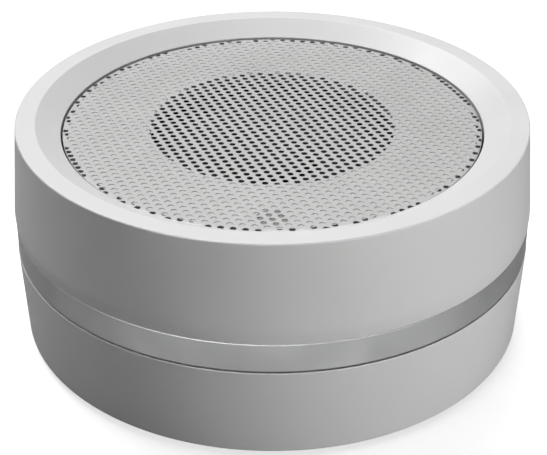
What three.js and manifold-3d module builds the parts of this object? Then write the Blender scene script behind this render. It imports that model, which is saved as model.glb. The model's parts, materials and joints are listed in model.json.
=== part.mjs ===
// Round indoor alarm siren: a drum-shaped siren head held by a locking ring on a lower shell
// that carries the cells and hangs on two keyholes. Millimetres, +Z up. The origin is at the
// middle of the underside, and the status light is on the -Y side.
import * as THREE from 'three';
import { mergeVertices } from 'three/addons/utils/BufferGeometryUtils.js';
import Module from 'manifold-3d';

const wasm = await Module();
wasm.setup();

// ---------------------------------------------------------------- driving dimensions
const HEIGHT = 35;              // rim to feet
const RIM_R = 38.8;             // outer radius at the flat rim
const DRUM_R = 40;              // outer radius just above and below the ring
const BASE_R = 39.4;            // outer radius at the bottom edge
const RING_R = 39.8;            // locking ring
const RIM_INNER_R = 35.8;       // flat rim meets the bevel
const GRILLE_R = 31.85;
const GRILLE_TOP = 32.65;       // grille face, recessed below the rim
const BEVEL_FOOT = 32.9;        // bevel ends just above the grille
const OPENING_R = 18.4;         // round speaker opening in the backing plate
const LIGHT_Y = -28.1;          // status light
const FOOT_H = 0.9;             // feet stand this far out of the lower shell
const RING_BOTTOM = 15.35;
const RING_TOP = 19.5;
const SEAM = 0.3;               // shadow gap above and below the ring
const WALL = 2;
const GAP = 0.3;                // clearance between neighbouring pieces

// ---------------------------------------------------------------- derived heights
const SHELL_FLOOR = FOOT_H + WALL;
const SHOULDER = RING_BOTTOM - SEAM;
const DRUM_BOTTOM = RING_TOP + SEAM;
const GRILLE_BOTTOM = GRILLE_TOP - 0.4;
const BACKING_TOP = GRILLE_BOTTOM - GAP;
const BACKING_BOTTOM = BACKING_TOP - 1.4;
const CHASSIS_TOP = 18.6;
const CHASSIS_BOTTOM = 17.2;
const BOARD_BOTTOM = 21.6;
const BOARD_TOP = 23.2;
const PARTS_LOW = BOARD_TOP + GAP;      // parts stand on the board
const PARTS_HIGH = BOARD_BOTTOM - GAP;  // parts hang under the board
const OUTER_STEPS = 48;
const DISC_STEPS = 36;
const INNER_STEPS = 20;

// ---------------------------------------------------------------- finishes
const finish = (color, roughness, metalness = 0) =>
  new THREE.MeshStandardMaterial({ color, roughness, metalness });
const WHITE = finish(0xe9e9e8, 0.42);
const GRILLE_METAL = finish(0xd2d2d0, 0.45, 0.6);
const SATIN_GREY = finish(0xa3a4a5, 0.38, 0.5);
const RUBBER = finish(0x2b2c2d, 0.9);
const BLACK_PLASTIC = finish(0x26282a, 0.55);
const GREY_PLASTIC = finish(0xb9bbba, 0.5);
const STEEL = finish(0xb5b7b9, 0.3, 1);
const BRASS = finish(0xc9a654, 0.3, 1);
const FERRITE = finish(0x2f3032, 0.7, 0.2);
const PAPER = finish(0x35322f, 0.85);
const BOARD_GREEN = finish(0x1f5b3a, 0.5);
const COPPER = finish(0xb06a3a, 0.35, 1);
const LENS = finish(0xf4f4ee, 0.25);
const CELL_SLEEVE = finish(0x3c6ea8, 0.4, 0.3);
const WIRE_RED = finish(0xb03028, 0.5);
const WIRE_BLACK = finish(0x222222, 0.5);

// ---------------------------------------------------------------- solid helpers
function solid(geometry) {
  const bare = geometry.clone();
  for (const name of Object.keys(bare.attributes)) {
    if (name !== 'position') bare.deleteAttribute(name);
  }
  const merged = mergeVertices(bare, 1e-4);
  const index = merged.index.array;
  const kept = [];
  for (let i = 0; i < index.length; i += 3) {
    const [a, b, c] = [index[i], index[i + 1], index[i + 2]];
    if (a !== b && b !== c && c !== a) kept.push(a, b, c);
  }
  return new wasm.Manifold(new wasm.Mesh({
    numProp: 3,
    vertProperties: Float32Array.from(merged.attributes.position.array),
    triVerts: Uint32Array.from(kept),
  }));
}

function lathe(profile, steps = INNER_STEPS) {
  // profile: [radius, z] points, anticlockwise; it closes on itself unless it ends on the axis
  const points = profile.map(([r, z]) => new THREE.Vector2(r, z));
  const onAxis = profile[0][0] === 0 && profile[profile.length - 1][0] === 0;
  if (!onAxis) points.push(points[0].clone());
  return solid(new THREE.LatheGeometry(points, steps).rotateX(Math.PI / 2));
}

const disc = (radius, low, high, steps = INNER_STEPS) =>
  lathe([[0, low], [radius, low], [radius, high], [0, high]], steps);

const tube = (inner, outer, low, high, steps = INNER_STEPS) =>
  lathe([[inner, low], [outer, low], [outer, high], [inner, high]], steps);

const box = (width, depth, low, high, x = 0, y = 0) =>
  solid(new THREE.BoxGeometry(width, depth, high - low).translate(x, y, (low + high) / 2));

const radians = (degrees) => degrees * Math.PI / 180;

function sector(inner, outer, low, high, middle, halfAngle) {
  // part of a flat ring, centred on the angle middle
  const shape = new THREE.Shape();
  const start = radians(middle - halfAngle);
  const end = radians(middle + halfAngle);
  shape.absarc(0, 0, outer, start, end, false);
  shape.absarc(0, 0, inner, end, start, true);
  const geometry = new THREE.ExtrudeGeometry(shape, {
    depth: high - low, bevelEnabled: false, curveSegments: 6,
  });
  return solid(geometry.translate(0, 0, low));
}

function wire(points, radius, sides, steps) {
  const section = new THREE.Shape();
  for (let i = 0; i < sides; i++) {
    const angle = 2 * Math.PI * i / sides;
    const place = [radius * Math.cos(angle), radius * Math.sin(angle)];
    if (i === 0) section.moveTo(...place);
    else section.lineTo(...place);
  }
  section.closePath();
  const path = points instanceof THREE.Curve ? points : new THREE.CatmullRomCurve3(points);
  return solid(new THREE.ExtrudeGeometry(section, { steps, extrudePath: path, bevelEnabled: false }));
}

class Helix extends THREE.Curve {
  constructor(startRadius, endRadius, length, turns) {
    super();
    Object.assign(this, { startRadius, endRadius, length, turns });
  }

  getPoint(t, target = new THREE.Vector3()) {
    const radius = THREE.MathUtils.lerp(this.startRadius, this.endRadius, t);
    const angle = 2 * Math.PI * this.turns * t;
    return target.set(radius * Math.cos(angle), radius * Math.sin(angle), this.length * t);
  }
}

const siren = new THREE.Group();

function add(name, shape, material, position = [0, 0, 0], rotation = [0, 0, 0]) {
  const { vertProperties, triVerts } = shape.getMesh();
  const geometry = new THREE.BufferGeometry();
  geometry.setAttribute('position', new THREE.BufferAttribute(vertProperties, 3));
  geometry.setIndex(new THREE.BufferAttribute(triVerts, 1));
  geometry.computeVertexNormals();
  const mesh = new THREE.Mesh(geometry, material);
  mesh.name = name;
  mesh.position.set(...position);
  mesh.rotation.set(...rotation);
  siren.add(mesh);
}

const polar = (radius, degrees) =>
  [radius * Math.cos(radians(degrees)), radius * Math.sin(radians(degrees))];

// ---------------------------------------------------------------- bayonet between head and base
const LUG_ANGLES = [90, 210, 330];     // head lugs, under the ring's rib when it is turned
const HOOK_ANGLES = [30, 150, 270];    // base hooks that keep the ring on
const LUG_HALF = 8;
const HOOK_HALF = 6;
const RIB_GAP_HALF = 10.5;
const RIB_R = 36.9;
const BAND_R = 38;
const RIB_BOTTOM = 17.4;
const RIB_TOP = 18.4;
const NECK_OUTER = 37.4;
const NECK_INNER = 35.9;
const NECK_TOP = 15.9;

// ---------------------------------------------------------------- places in the base
const FEET = [45, 135, 225, 315];
const FOOT_CIRCLE = 31.5;
const FOOT_R = 4.5;
const KEYHOLE_X = 31.5;
const KEYHOLE_R = 4;
const KEYHOLE_SLOT = 2.2;       // half width of the slot
const ROD_Y = 29.5;             // tamper rod
const ROD_R = 1.5;
const PAD_X = 8;
const PAD_Y = -28.6;
const CELL_PITCH = 11.8;
const CELL_R = 5.25;
const CELL_LENGTH = 44.5;
const CELL_Z = 8.9;
const POCKET_HALF = 25.6;       // cell pockets, half their length
const TRAY_H = 6.4;
const CONTACT_T = 0.4;

function keyhole() {
  // entry hole with a slot that runs towards the rear
  const shape = new THREE.Shape();
  const meet = Math.asin(KEYHOLE_SLOT / KEYHOLE_R);
  shape.absarc(0, 0, KEYHOLE_R, Math.PI / 2 + meet, Math.PI * 2.5 - meet, false);
  shape.absarc(0, 8, KEYHOLE_SLOT, 0, Math.PI, false);
  const depth = WALL + 2;
  return new THREE.ExtrudeGeometry(shape, { depth, bevelEnabled: false, curveSegments: 8 });
}

function lowerShell() {
  let shell = lathe([
    [0, FOOT_H], [BASE_R - 0.4, FOOT_H], [BASE_R, FOOT_H + 0.4], [DRUM_R, SHOULDER - 0.3],
    [DRUM_R - 0.3, SHOULDER], [NECK_OUTER, SHOULDER], [NECK_OUTER, NECK_TOP],
    [NECK_INNER, NECK_TOP], [NECK_INNER, SHOULDER - 2.4], [BASE_R - WALL, SHOULDER - 4.4],
    [BASE_R - WALL - 0.5, SHELL_FLOOR], [0, SHELL_FLOOR],
  ], OUTER_STEPS);
  for (const angle of HOOK_ANGLES) {
    const stem = sector(NECK_INNER, RIB_R - 0.3, SHOULDER, DRUM_BOTTOM - GAP, angle, HOOK_HALF);
    const nose = sector(RIB_R - 0.5, BAND_R - 0.4, RIB_TOP + GAP, DRUM_BOTTOM - GAP, angle, HOOK_HALF);
    shell = shell.add(stem).add(nose);
  }
  for (const x of [-PAD_X, PAD_X]) shell = shell.add(box(5, 4, SHELL_FLOOR - 0.5, 14.2, x, PAD_Y));
  for (const angle of FEET) {
    const [x, y] = polar(FOOT_CIRCLE, angle);
    shell = shell.subtract(disc(FOOT_R + GAP, FOOT_H - 1, FOOT_H + 0.6, 20).translate([x, y, 0]));
  }
  for (const x of [-KEYHOLE_X, KEYHOLE_X]) {
    shell = shell.subtract(solid(keyhole().translate(x, -4, FOOT_H - 1)));
  }
  return shell.subtract(disc(ROD_R + 0.4, 0, 4).translate([0, ROD_Y, 0]));
}

function lockingRing() {
  let rib = tube(RIB_R, BAND_R + 0.4, RIB_BOTTOM, RIB_TOP, OUTER_STEPS);
  for (const angle of LUG_ANGLES) {
    rib = rib.subtract(sector(RIB_R - 1, BAND_R, RIB_BOTTOM - 1, RIB_TOP + 1, angle, RIB_GAP_HALF));
  }
  const band = lathe([
    [BAND_R, RING_BOTTOM], [RING_R - 0.15, RING_BOTTOM], [RING_R, RING_BOTTOM + 0.15],
    [RING_R, RING_TOP - 0.3], [RING_R - 0.3, RING_TOP], [BAND_R, RING_TOP],
  ], OUTER_STEPS);
  return band.add(rib);
}

// ---------------------------------------------------------------- the siren head
const BOSS_CIRCLE = 31.6;
const BOSS_ANGLES = [45, 135, 225, 315];
const BOSS_R = 2.8;
const SCREW_R = 1.2;
const BUTTON_X = 14;
const BUTTON_Y = -24;
const BUTTON_HOLE_R = 2.6;
const LEAF_SLOT = [4, 6];
const CHASSIS_R = 34.6;
const MAGNET_R = 14;
const CUP_INNER = 14.7;         // cup under the magnet
const CUP_OUTER = 15.9;
const CUP_BOTTOM = 14.6;
const LUG_BOTTOM = RIB_BOTTOM - 1.1;

const POST_CIRCLE = 26;         // posts that stand the backing plate on the board
const POST_ANGLES = [20, 160, 200, 340];
const LIGHT_HOLE_R = 2.3;
const PLATE_R = 31.3;           // backing plate
const WELL_R = GRILLE_R + GAP;  // wall round the grille

function upperShell() {
  let shell = lathe([
    [BAND_R + 0.05, DRUM_BOTTOM], [DRUM_R - 0.5, DRUM_BOTTOM], [DRUM_R, DRUM_BOTTOM + 0.6],
    [RIM_R + 0.02, HEIGHT - 0.2], [RIM_R - 0.18, HEIGHT], [RIM_INNER_R, HEIGHT],
    [WELL_R, BEVEL_FOOT], [WELL_R, 30.4], [34, 30.4], [36.6, HEIGHT - 2.4],
  ], OUTER_STEPS);
  for (const angle of BOSS_ANGLES) {
    const [x, y] = polar(BOSS_CIRCLE, angle);
    const arm = box(6.4, 2.4, 24, 32.2, 35.4, 0).rotate([0, 0, angle]);
    const boss = disc(BOSS_R, CHASSIS_TOP + GAP, 30.2, 20).translate([x, y, 0]);
    shell = shell.add(arm).add(boss);
  }
  for (const angle of BOSS_ANGLES) {
    const [x, y] = polar(BOSS_CIRCLE, angle);
    shell = shell.subtract(disc(SCREW_R + GAP, 10, 27, 16).translate([x, y, 0]));
  }
  return shell.subtract(disc(WELL_R, 31.4, HEIGHT + 1, OUTER_STEPS));
}

function backingPlate() {
  let plate = tube(OPENING_R, PLATE_R, BACKING_BOTTOM, BACKING_TOP, DISC_STEPS);
  const window = disc(LIGHT_HOLE_R, BACKING_BOTTOM - 1, BACKING_TOP + 1, 20);
  plate = plate.subtract(window.translate([0, LIGHT_Y, 0]));
  for (const angle of POST_ANGLES) {
    const [x, y] = polar(POST_CIRCLE, angle);
    plate = plate.add(disc(1.6, PARTS_LOW, BACKING_BOTTOM + 0.5, 12).translate([x, y, 0]));
  }
  return plate;
}

function chassis() {
  let floor = disc(CHASSIS_R, CHASSIS_BOTTOM, CHASSIS_TOP, DISC_STEPS);
  floor = floor.add(disc(CUP_OUTER, CUP_BOTTOM, CHASSIS_TOP));
  floor = floor.subtract(disc(CUP_INNER, CUP_BOTTOM + 1, CHASSIS_TOP + 1));
  for (const angle of LUG_ANGLES) {
    floor = floor.add(sector(CHASSIS_R - 0.6, 36.5, LUG_BOTTOM, CHASSIS_TOP, angle, LUG_HALF));
    floor = floor.add(sector(36, BAND_R - GAP, LUG_BOTTOM, RIB_BOTTOM - GAP, angle, LUG_HALF));
  }
  for (const angle of BOSS_ANGLES) {
    const [x, y] = polar(BOSS_CIRCLE, angle);
    floor = floor.subtract(disc(SCREW_R + GAP, 10, 20, 16).translate([x, y, 0]));
  }
  floor = floor.subtract(disc(ROD_R + 0.7, 10, 20, 16).translate([0, ROD_Y, 0]));
  floor = floor.subtract(disc(BUTTON_HOLE_R, 10, 20, 16).translate([BUTTON_X, BUTTON_Y, 0]));
  for (const x of [-PAD_X, PAD_X]) floor = floor.subtract(box(...LEAF_SLOT, 10, 20, x, PAD_Y));
  return floor;
}

function board() {
  let plate = tube(CUP_OUTER + GAP, 35.2, BOARD_BOTTOM, BOARD_TOP, DISC_STEPS);
  for (const angle of BOSS_ANGLES) {
    const [x, y] = polar(BOSS_CIRCLE, angle);
    const notch = disc(BOSS_R + 0.4, 20, 25, 16);
    plate = plate.subtract(notch.translate([x, y, 0]));
    const edge = polar(BOSS_CIRCLE + 3, angle);
    plate = plate.subtract(notch.translate([...edge, 0]));
  }
  return plate;
}

// ---------------------------------------------------------------- speaker
const FLANGE_TOP = 28.3;
const COIL_R = 6.5;

function basket() {
  let frame = lathe([
    [8, 23.4], [13.6, 23.4], [17.6, 27.5], [20.4, 27.5], [20.4, FLANGE_TOP], [17, FLANGE_TOP],
    [13.2, 24.2], [8, 24.2],
  ]);
  for (const angle of [0, 90, 180, 270]) {
    frame = frame.subtract(box(9, 7, 24.6, 27, 16.5, 0).rotate([0, 0, angle + 22.5]));
  }
  return frame;
}

const speakerCone = () => lathe([
  [COIL_R + GAP, 25.2], [15.7, 27.9], [15.7, 28.4], [COIL_R + GAP, 25.7],
]);

const speakerSurround = () => lathe([
  [16, 28.5], [16.3, 29.1], [16.8, 29.1], [17.2, FLANGE_TOP + GAP], [18.3, FLANGE_TOP + GAP],
  [18.3, FLANGE_TOP + 0.6], [17.4, FLANGE_TOP + 0.6], [17, 29.5], [16.2, 29.5], [16, 28.9],
]);

const spider = () => lathe([
  [COIL_R + 0.6, 24.45], [8.4, 24.7], [9.6, 24.45], [10.8, 24.7], [12.2, 24.45],
  [12.2, 24.65], [10.8, 24.9], [9.6, 24.65], [8.4, 24.9], [COIL_R + 0.6, 24.65],
]);

// ---------------------------------------------------------------- small pieces
function screw() {
  // pan head with a cross recess, head at the bottom
  const body = lathe([
    [0, 0], [2, 0], [2.4, 0.5], [2.4, 1.5], [SCREW_R, 1.5], [SCREW_R, 9], [0.3, 9.8], [0, 9.8],
  ], 12);
  return body.subtract(box(2.6, 0.7, -1, 0.7)).subtract(box(0.7, 2.6, -1, 0.7));
}

function cell() {
  return lathe([
    [0, 0], [CELL_R - 0.5, 0], [CELL_R, 0.5], [CELL_R, CELL_LENGTH - 1.5],
    [CELL_R - 0.5, CELL_LENGTH - 1], [1.9, CELL_LENGTH - 1], [1.9, CELL_LENGTH], [0, CELL_LENGTH],
  ], 16);
}

function batteryTray() {
  const halfWidth = 1.5 * CELL_PITCH + CELL_R + 1.5;
  const halfLength = POCKET_HALF + 1.2;
  const corner = 1.2;
  const outline = new THREE.Shape();
  outline.moveTo(-halfLength + corner, -halfWidth);
  outline.lineTo(halfLength - corner, -halfWidth);
  outline.lineTo(halfLength, -halfWidth + corner);
  outline.lineTo(halfLength, halfWidth - corner);
  outline.lineTo(halfLength - corner, halfWidth);
  outline.lineTo(-halfLength + corner, halfWidth);
  outline.lineTo(-halfLength, halfWidth - corner);
  outline.lineTo(-halfLength, -halfWidth + corner);
  outline.closePath();
  const low = SHELL_FLOOR + GAP;
  const block = solid(new THREE.ExtrudeGeometry(outline, { depth: TRAY_H, bevelEnabled: false }));
  let tray = block.translate([0, 0, low]);
  for (let row = 0; row < 4; row++) {
    const y = (row - 1.5) * CELL_PITCH;
    tray = tray.subtract(box(2 * POCKET_HALF, 2 * CELL_R + 0.6, 0, 20, 0, y));
  }
  return tray;
}

function contactLeaf() {
  // bent strip: foot under the board, leg down through the chassis, toe that meets the pad
  const strip = new THREE.Shape();
  strip.moveTo(-1.6, 21.3);
  strip.lineTo(-1.6, 21);
  strip.lineTo(0, 21);
  strip.lineTo(0, 15.6);
  strip.lineTo(0.6, 15.2);
  strip.lineTo(1.4, 16.2);
  strip.lineTo(1.15, 16.4);
  strip.lineTo(0.6, 15.7);
  strip.lineTo(0.3, 15.9);
  strip.lineTo(0.3, 21.3);
  strip.closePath();
  const geometry = new THREE.ExtrudeGeometry(strip, { depth: 2.4, bevelEnabled: false });
  return solid(geometry.rotateX(Math.PI / 2).translate(-0.3, 1.2, 0));
}

// ---------------------------------------------------------------- base assembly
add('lower_shell', lowerShell(), WHITE);
FEET.forEach((angle, i) => {
  const [x, y] = polar(FOOT_CIRCLE, angle);
  add(`rubber_foot_${i + 1}`, disc(FOOT_R, 0, FOOT_H + GAP, 20), RUBBER, [x, y, 0]);
});
add('battery_tray', batteryTray(), BLACK_PLASTIC);
for (let row = 0; row < 4; row++) {
  const y = (row - 1.5) * CELL_PITCH;
  const way = row % 2 === 0 ? 1 : -1;      // neighbouring cells point opposite ways
  const turn = [0, way * Math.PI / 2, 0];
  const plateX = way * (POCKET_HALF - GAP - CONTACT_T / 2);
  const cellStart = way * (POCKET_HALF - 2 * GAP - CONTACT_T - CELL_LENGTH);
  add(`battery_cell_${row + 1}`, cell(), CELL_SLEEVE, [cellStart, y, CELL_Z], turn);
  add(`plate_contact_${row + 1}`, box(CONTACT_T, 7, 5.2, 12), STEEL, [plateX, y, 0]);
  const coil = wire(new Helix(3.4, 2, 4.6, 3), 0.3, 5, 27);
  add(`coil_contact_${row + 1}`, coil, STEEL, [-way * (POCKET_HALF - 0.6), y, CELL_Z], turn);
}
[-PAD_X, PAD_X].forEach((x, i) => {
  add(`contact_pad_${i + 1}`, box(4.4, 3.4, 14.5, 14.9, x, PAD_Y), BRASS);
});
add('tamper_guide', lathe([
  [3.2, SHELL_FLOOR + GAP], [4.3, SHELL_FLOOR + GAP], [4.3, 13.6], [1.9, 13.6], [1.9, 12.6],
  [3.2, 12.6],
], 20), BLACK_PLASTIC, [0, ROD_Y, 0]);
add('tamper_spring', wire(new Helix(2.3, 2.3, 5.6, 5), 0.25, 5, 45), STEEL, [0, ROD_Y, 6.4]);
add('tamper_rod', lathe([
  [0, 0.1], [ROD_R - 0.3, 0.1], [ROD_R, 0.5], [ROD_R, 4.7], [2.8, 4.7], [2.8, 5.8],
  [ROD_R, 5.8], [ROD_R, 18.55], [0, 18.55],
], 20), GREY_PLASTIC, [0, ROD_Y, 0]);
add('locking_ring', lockingRing(), SATIN_GREY);

// ---------------------------------------------------------------- head assembly
add('upper_shell', upperShell(), WHITE);
add('grille', disc(GRILLE_R, GRILLE_BOTTOM, GRILLE_TOP, OUTER_STEPS), GRILLE_METAL);
add('backing_plate', backingPlate(), GREY_PLASTIC);
add('light_guide', disc(LIGHT_HOLE_R - GAP, 25, BACKING_TOP, 20), LENS, [0, LIGHT_Y, 0]);
add('speaker_gasket', tube(OPENING_R + 0.3, 20.4, FLANGE_TOP + GAP, BACKING_BOTTOM - GAP), RUBBER);
add('speaker_surround', speakerSurround(), RUBBER);
add('speaker_basket', basket(), STEEL);
add('speaker_spider', spider(), PAPER);
add('speaker_top_plate', tube(6.9, 13.5, 21.5, 23.1), STEEL);
add('speaker_magnet', tube(7.2, MAGNET_R, 18, 21.2), FERRITE);
add('speaker_yoke', lathe([
  [0, 15.9], [13.5, 15.9], [13.5, 17.7], [5.6, 17.7], [5.6, 23.1], [0, 23.1],
]), STEEL);
add('main_board', board(), BOARD_GREEN);
add('radio_module', box(13, 10, PARTS_LOW, 26, -10.5, 24), STEEL);
add('antenna', wire([
  new THREE.Vector3(-1, 31, 24), new THREE.Vector3(-1, 31, 26.6), new THREE.Vector3(2, 31, 28),
  new THREE.Vector3(9, 29.6, 28.2), new THREE.Vector3(15, 27, 28.2),
], 0.5, 6, 16), COPPER);
add('processor_chip', box(7, 7, PARTS_LOW, 24.6, 25.5, -2.5), BLACK_PLASTIC);
add('amplifier_chip', box(5, 5, PARTS_LOW, 24.6, 9.5, 22), BLACK_PLASTIC);
add('boost_inductor', disc(3.4, PARTS_LOW, 27, 20), FERRITE, [-25, -3.5, 0]);
[[-29.5, 3.6], [-15, -25]].forEach(([x, y], i) => {
  add(`capacitor_${i + 1}`, disc(3.1, PARTS_LOW, 28.4, 20), STEEL, [x, y, 0]);
});
add('status_led', box(3.2, 2.8, PARTS_LOW, 24.7, 0, LIGHT_Y), LENS);
add('tamper_switch', box(6, 5, 18.9, PARTS_HIGH, 0, ROD_Y), BLACK_PLASTIC);
add('setup_switch', box(6, 6, 20, PARTS_HIGH, BUTTON_X, BUTTON_Y), BLACK_PLASTIC);
add('setup_button', lathe([
  [0, 16.4], [1.9, 16.4], [2.2, 16.7], [2.2, 18.9], [3, 18.9], [3, 19.3], [0, 19.3],
], 20), GREY_PLASTIC, [BUTTON_X, BUTTON_Y, 0]);
add('head_chassis', chassis(), BLACK_PLASTIC);
BOSS_ANGLES.forEach((angle, i) => {
  const [x, y] = polar(BOSS_CIRCLE, angle);
  add(`chassis_screw_${i + 1}`, screw(), STEEL, [x, y, CHASSIS_BOTTOM - GAP - 1.5]);
});
[-PAD_X, PAD_X].forEach((x, i) => {
  add(`contact_leaf_${i + 1}`, contactLeaf(), BRASS, [x, PAD_Y, 0]);
});
add('speaker_cone', speakerCone(), PAPER);
add('dust_cap', lathe([[0, 25.9], [6.2, 25.9], [5.4, 27], [3.4, 27.8], [0, 28.1]]), PAPER);
add('voice_coil', tube(6.1, COIL_R, 21.4, 25.6), COPPER);
[[1, 'red', WIRE_RED], [-1, 'black', WIRE_BLACK]].forEach(([side, colour, material]) => {
  const x = side * 1.6;
  add(`speaker_lead_${colour}`, wire([
    new THREE.Vector3(x, 17.6, 26), new THREE.Vector3(x * 1.2, 20, 26.6),
    new THREE.Vector3(x * 1.5, 22.4, 25.6), new THREE.Vector3(x * 1.5, 23.2, 23.7),
  ], 0.5, 8, 14), material);
});

export default siren;
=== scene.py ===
"""Looks of a round indoor alarm siren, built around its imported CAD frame. Meshes are made in
millimetres and become metres when they are placed; +Z is up and the status light is on the -Y side."""

import json
import math

import bmesh
import bpy
from mathutils import Matrix, Vector
from mathutils.geometry import delaunay_2d_cdt


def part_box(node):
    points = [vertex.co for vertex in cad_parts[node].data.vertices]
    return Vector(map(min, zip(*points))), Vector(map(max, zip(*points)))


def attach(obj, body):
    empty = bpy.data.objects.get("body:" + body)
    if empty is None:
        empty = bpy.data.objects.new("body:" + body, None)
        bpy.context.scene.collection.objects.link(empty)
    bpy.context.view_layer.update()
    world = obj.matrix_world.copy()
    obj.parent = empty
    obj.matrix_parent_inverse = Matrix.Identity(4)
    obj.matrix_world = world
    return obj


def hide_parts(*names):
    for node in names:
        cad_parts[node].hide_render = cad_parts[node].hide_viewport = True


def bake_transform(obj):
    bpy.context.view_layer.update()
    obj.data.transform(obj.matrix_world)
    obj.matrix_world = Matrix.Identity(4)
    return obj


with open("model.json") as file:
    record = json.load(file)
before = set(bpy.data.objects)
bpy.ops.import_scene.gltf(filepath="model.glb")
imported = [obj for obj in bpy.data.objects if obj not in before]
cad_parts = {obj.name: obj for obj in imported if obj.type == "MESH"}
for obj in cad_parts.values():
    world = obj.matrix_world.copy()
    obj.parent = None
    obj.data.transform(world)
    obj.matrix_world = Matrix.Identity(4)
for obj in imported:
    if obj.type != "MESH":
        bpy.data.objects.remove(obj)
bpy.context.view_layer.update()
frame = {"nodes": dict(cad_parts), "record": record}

MM = 0.001


# ================================================================ sizes read from the frame
def span(node):
    """A node's lowest and highest corner, in millimetres."""
    low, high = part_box(node)
    return low / MM, high / MM


def middle(node):
    low, high = span(node)
    return (low + high) / 2


HEIGHT = span("upper_shell")[1].z
DRUM_R = span("upper_shell")[1].x
BASE_BOTTOM = span("lower_shell")[0].z
HOOK_TOP = span("lower_shell")[1].z
RING_LOW, RING_HIGH = span("locking_ring")
RING_R = RING_HIGH.x
GRILLE_LOW, GRILLE_HIGH = span("grille")
GRILLE_R = GRILLE_HIGH.x
PLATE_LOW = span("backing_plate")[0].z
CHASSIS_LOW, CHASSIS_HIGH = span("head_chassis")
LIGHT_Y = middle("light_guide").y
ROD_Y = middle("tamper_rod").y
PAD = middle("contact_pad_1")
BUTTON = middle("setup_button")
FOOT_CIRCLE = math.hypot(middle("rubber_foot_1").x, middle("rubber_foot_1").y)
BOSS_CIRCLE = math.hypot(middle("chassis_screw_1").x, middle("chassis_screw_1").y)

# ================================================================ sizes of the details
GAP = 0.3                       # clearance between neighbouring pieces
OVERLAP = 0.5                   # how far a joined solid reaches into the one it joins
DRUM_BOTTOM = RING_HIGH.z + GAP
SHOULDER = RING_LOW.z - GAP
RIM_R = 38.8                    # flat rim, outside
RIM_INNER_R = 35.8              # flat rim meets the bevel
WELL_R = GRILLE_R + GAP         # wall round the grille
BEVEL_FOOT = 32.9               # bevel ends just above the grille
BASE_R = 39.4                   # lower shell at its bottom edge
WALL = 2.0                      # thickness of the lower shell
SHELL_FLOOR = BASE_BOTTOM + WALL
BAND_R = 38.0                   # inside of the locking ring's band
RIB_R = 36.9                    # inside of its bayonet rib
RIB_BOTTOM, RIB_TOP = 17.4, 18.4
NECK_OUTER, NECK_INNER, NECK_TOP = 37.4, 35.9, 15.9
LUG_ANGLES = (90, 210, 330)     # bayonet lugs, in degrees round Z from +X
HOOK_ANGLES = (30, 150, 270)
CORNER_ANGLES = (45, 135, 225, 315)     # feet and chassis screws
OPENING_R = 18.6                # speaker opening in the backing plate
CHASSIS_R = 34.6
CUP_OUTER, CUP_INNER = 15.9, 14.7
FLOOR_UNDERSIDE = 17.2          # underside of the chassis between its cup and lugs
SCREW_HOLE_R = 1.5
KEYHOLE_X = 31.5                # keyholes, left and right of the middle
CELL_R = 5.25
CELL_LENGTH = 44.5
COIL_R = 6.5                    # outside of the voice coil

OUTER_STEPS = 256               # sides of the casing
SMALL_STEPS = 64                # sides of the small turned pieces
CREASE = 32                     # edges sharper than this, in degrees, shade sharp
CAD_CREASE = 30                 # the same for CAD nodes that are shown as they are
SUPPORT_INSET = 0.12            # from the end of a long straight side to its extra point

# perforation of the grille
HOLE_R = 0.45
HOLE_SIDES = 16
HOLE_EDGE = 0.025               # rolled edge of each hole
SHEET = 0.07                    # sheet thickness
SHEET_TOP = GRILLE_HIGH.z
LIP = 0.06                      # thickness of the sheet's turned-down lip
SHEET_AIR = 0.02                # air between the sheet and what is under it
PLATE_TOP = SHEET_TOP - SHEET - SHEET_AIR
SHADE_SEAL_R, SHADE_SEAL_OUTER = 31.0, 31.65    # foam seal round the backing plate; its near-black colour is painted shade behind the outermost holes
LIGHT_R = 2.3                   # window of the status light
LATTICE_START = Vector((0.28, 1.01))    # centre of one hole
LATTICE_A = Vector((1.202, 0.892))      # steps from it along the two rows of holes
LATTICE_B = Vector((0.492, -1.181))


# ================================================================ materials
NOISE_LOW, NOISE_HIGH = 0.3, 0.7    # the part of the noise's range that is used
BUMP_STRENGTH = 0.35
CLOUD_SCALE = 60                # cells per metre of faint cloudiness
GLOSS_SCALE = 140               # cells per metre of uneven gloss


def new_material(name, color, roughness, metallic=0.0):
    material = bpy.data.materials.new(name)
    material.use_nodes = True
    shader = material.node_tree.nodes["Principled BSDF"]
    shader.inputs["Base Color"].default_value = (*color, 1)
    shader.inputs["Roughness"].default_value = roughness
    shader.inputs["Metallic"].default_value = metallic
    return material, shader


def noise(material, scale, detail):
    """A noise texture in object space; scale is in cells per metre."""
    tree = material.node_tree
    coordinates = tree.nodes.new("ShaderNodeTexCoord")
    texture = tree.nodes.new("ShaderNodeTexNoise")
    texture.inputs["Scale"].default_value = scale
    texture.inputs["Detail"].default_value = detail
    tree.links.new(coordinates.outputs["Object"], texture.inputs["Vector"])
    return texture.outputs["Fac"]


def vary_roughness(material, shader, value, low, high):
    """Lets a noise value move the roughness between low and high."""
    spread = material.node_tree.nodes.new("ShaderNodeMapRange")
    spread.inputs["From Min"].default_value = NOISE_LOW
    spread.inputs["From Max"].default_value = NOISE_HIGH
    spread.inputs["To Min"].default_value = low
    spread.inputs["To Max"].default_value = high
    material.node_tree.links.new(value, spread.inputs["Value"])
    material.node_tree.links.new(spread.outputs["Result"], shader.inputs["Roughness"])


def vary_color(material, shader, value, dark, light):
    """Lets a noise value move the colour between dark and light."""
    ramp = material.node_tree.nodes.new("ShaderNodeValToRGB")
    ramp.color_ramp.elements[0].position = NOISE_LOW
    ramp.color_ramp.elements[0].color = (*dark, 1)
    ramp.color_ramp.elements[1].position = NOISE_HIGH
    ramp.color_ramp.elements[1].color = (*light, 1)
    material.node_tree.links.new(value, ramp.inputs["Fac"])
    material.node_tree.links.new(ramp.outputs["Color"], shader.inputs["Base Color"])


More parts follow.
